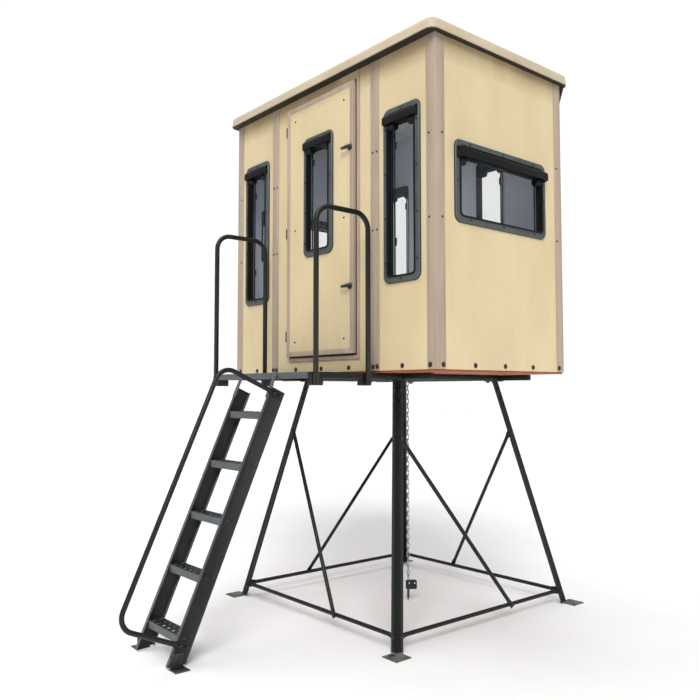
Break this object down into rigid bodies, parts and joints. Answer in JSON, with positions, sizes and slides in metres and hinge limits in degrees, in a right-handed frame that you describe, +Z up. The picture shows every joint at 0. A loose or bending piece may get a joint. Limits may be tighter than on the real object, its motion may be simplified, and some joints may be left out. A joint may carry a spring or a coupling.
{
  "type": "elevated box blind",
  "caption": "Hard-sided box blind with an outward door and inward-opening windows, on a splayed steel tower with an entry deck, guard rails and a ladder with a handrail.",
  "frame": {"origin": "on the ground, under the middle of the whole object's box", "axes": "+Z up; -Y towards the door, deck and ladder; X along the long door side, +X to the right of someone facing the door"},
  "size_m": [2.226, 3.1308, 3.6613],
  "materials": {
    "panel": "satin tan skin",
    "roof": "matte moulded cap",
    "trim": "satin taupe",
    "plywood": "stained plywood",
    "steel": "olive-black powder coat",
    "frame": "dark moulded",
    "glass": "tinted",
    "black": "black",
    "zinc": "zinc plated"
  },
  "bodies": {
    "blind": {"front_wall": "panel", "rear_wall": "panel", "right_wall": "panel", "left_wall": "panel", "roof_shell": "roof", "corner_trim_front_left": "trim", "corner_trim_front_right": "trim", "corner_trim_rear_right": "trim", "corner_trim_rear_left": "trim", "floor_panel": "plywood", "window_frame_front_left": "frame", "window_frame_front_right": "frame", "window_frame_right": "frame", "window_frame_left": "frame", "window_frame_rear_right": "frame", "window_frame_rear_left": "frame", "door_hinge_1": "black", "door_hinge_2": "black", "door_hinge_3": "black", "ground_anchor": "black", "hold_down_chain": "zinc", "platform_side_beam_left": "steel", "platform_side_beam_right": "steel", "guard_rail_left": "steel", "guard_rail_right": "steel", "platform_cross_beam_front": "steel", "platform_cross_beam_middle": "steel", "platform_cross_beam_rear": "steel", "deck_grate": "steel", "tower_leg_front_left": "steel", "tower_leg_front_right": "steel", "tower_leg_rear_right": "steel", "tower_leg_rear_left": "steel", "base_tie_front": "steel", "base_tie_right": "steel", "base_tie_rear": "steel", "base_tie_left": "steel", "leg_brace_front": "steel", "leg_brace_right": "steel", "leg_brace_rear": "steel", "leg_brace_left": "steel", "ladder_stringer_left": "steel", "ladder_stringer_right": "steel", "ladder_tread_1": "steel", "ladder_tread_2": "steel", "ladder_tread_3": "steel", "ladder_tread_4": "steel", "ladder_tread_5": "steel", "ladder_handrail": "steel"},
    "door": {"door_panel": "panel", "window_frame_door": "frame"},
    "latch_lower": {"door_latch_lower": "black"},
    "latch_upper": {"door_latch_upper": "black"},
    "sash_front_left": {"window_sash_front_left": "glass"},
    "sash_front_right": {"window_sash_front_right": "glass"},
    "sash_door": {"window_sash_door": "glass"},
    "sash_right": {"window_sash_right": "glass"},
    "sash_left": {"window_sash_left": "glass"},
    "sash_rear_right": {"window_sash_rear_right": "glass"},
    "sash_rear_left": {"window_sash_rear_left": "glass"}
  },
  "joints": [
    {"name": "door_swing", "type": "hinge", "parent": "blind", "child": "door", "pos_m": [-0.3725, -0.09765, 2.628], "axis": [0, 0, -1], "range_deg": [0, 95]},
    {"name": "latch_lower_turn", "type": "hinge", "parent": "door", "child": "latch_lower", "pos_m": [0.335, -0.10895, 2.173], "axis": [0, 1, 0], "range_deg": [0, 90]},
    {"name": "latch_upper_turn", "type": "hinge", "parent": "door", "child": "latch_upper", "pos_m": [0.335, -0.10895, 3.078], "axis": [0, 1, 0], "range_deg": [0, 90]},
    {"name": "window_front_right_swing", "type": "hinge", "parent": "blind", "child": "sash_front_right", "pos_m": [0.671, -0.042, 2.69], "axis": [0, 0, 1], "range_deg": [0, 90]},
    {"name": "window_front_left_swing", "type": "hinge", "parent": "blind", "child": "sash_front_left", "pos_m": [-0.671, -0.042, 2.69], "axis": [0, 0, -1], "range_deg": [0, 90]},
    {"name": "window_door_swing", "type": "hinge", "parent": "door", "child": "sash_door", "pos_m": [-0.1215, -0.077, 2.835], "axis": [0, 0, 1], "range_deg": [0, 90]},
    {"name": "window_right_lift", "type": "hinge", "parent": "blind", "child": "sash_right", "pos_m": [1.0255, 0.511, 2.951], "axis": [0, 1, 0], "range_deg": [0, 55]},
    {"name": "window_left_lift", "type": "hinge", "parent": "blind", "child": "sash_left", "pos_m": [-1.0255, 0.511, 2.951], "axis": [0, -1, 0], "range_deg": [0, 55]},
    {"name": "window_rear_right_swing", "type": "hinge", "parent": "blind", "child": "sash_rear_right", "pos_m": [0.366, 1.0948, 2.69], "axis": [0, 0, -1], "range_deg": [0, 90]},
    {"name": "window_rear_left_swing", "type": "hinge", "parent": "blind", "child": "sash_rear_left", "pos_m": [-0.366, 1.0948, 2.69], "axis": [0, 0, 1], "range_deg": [0, 90]}
  ]
}
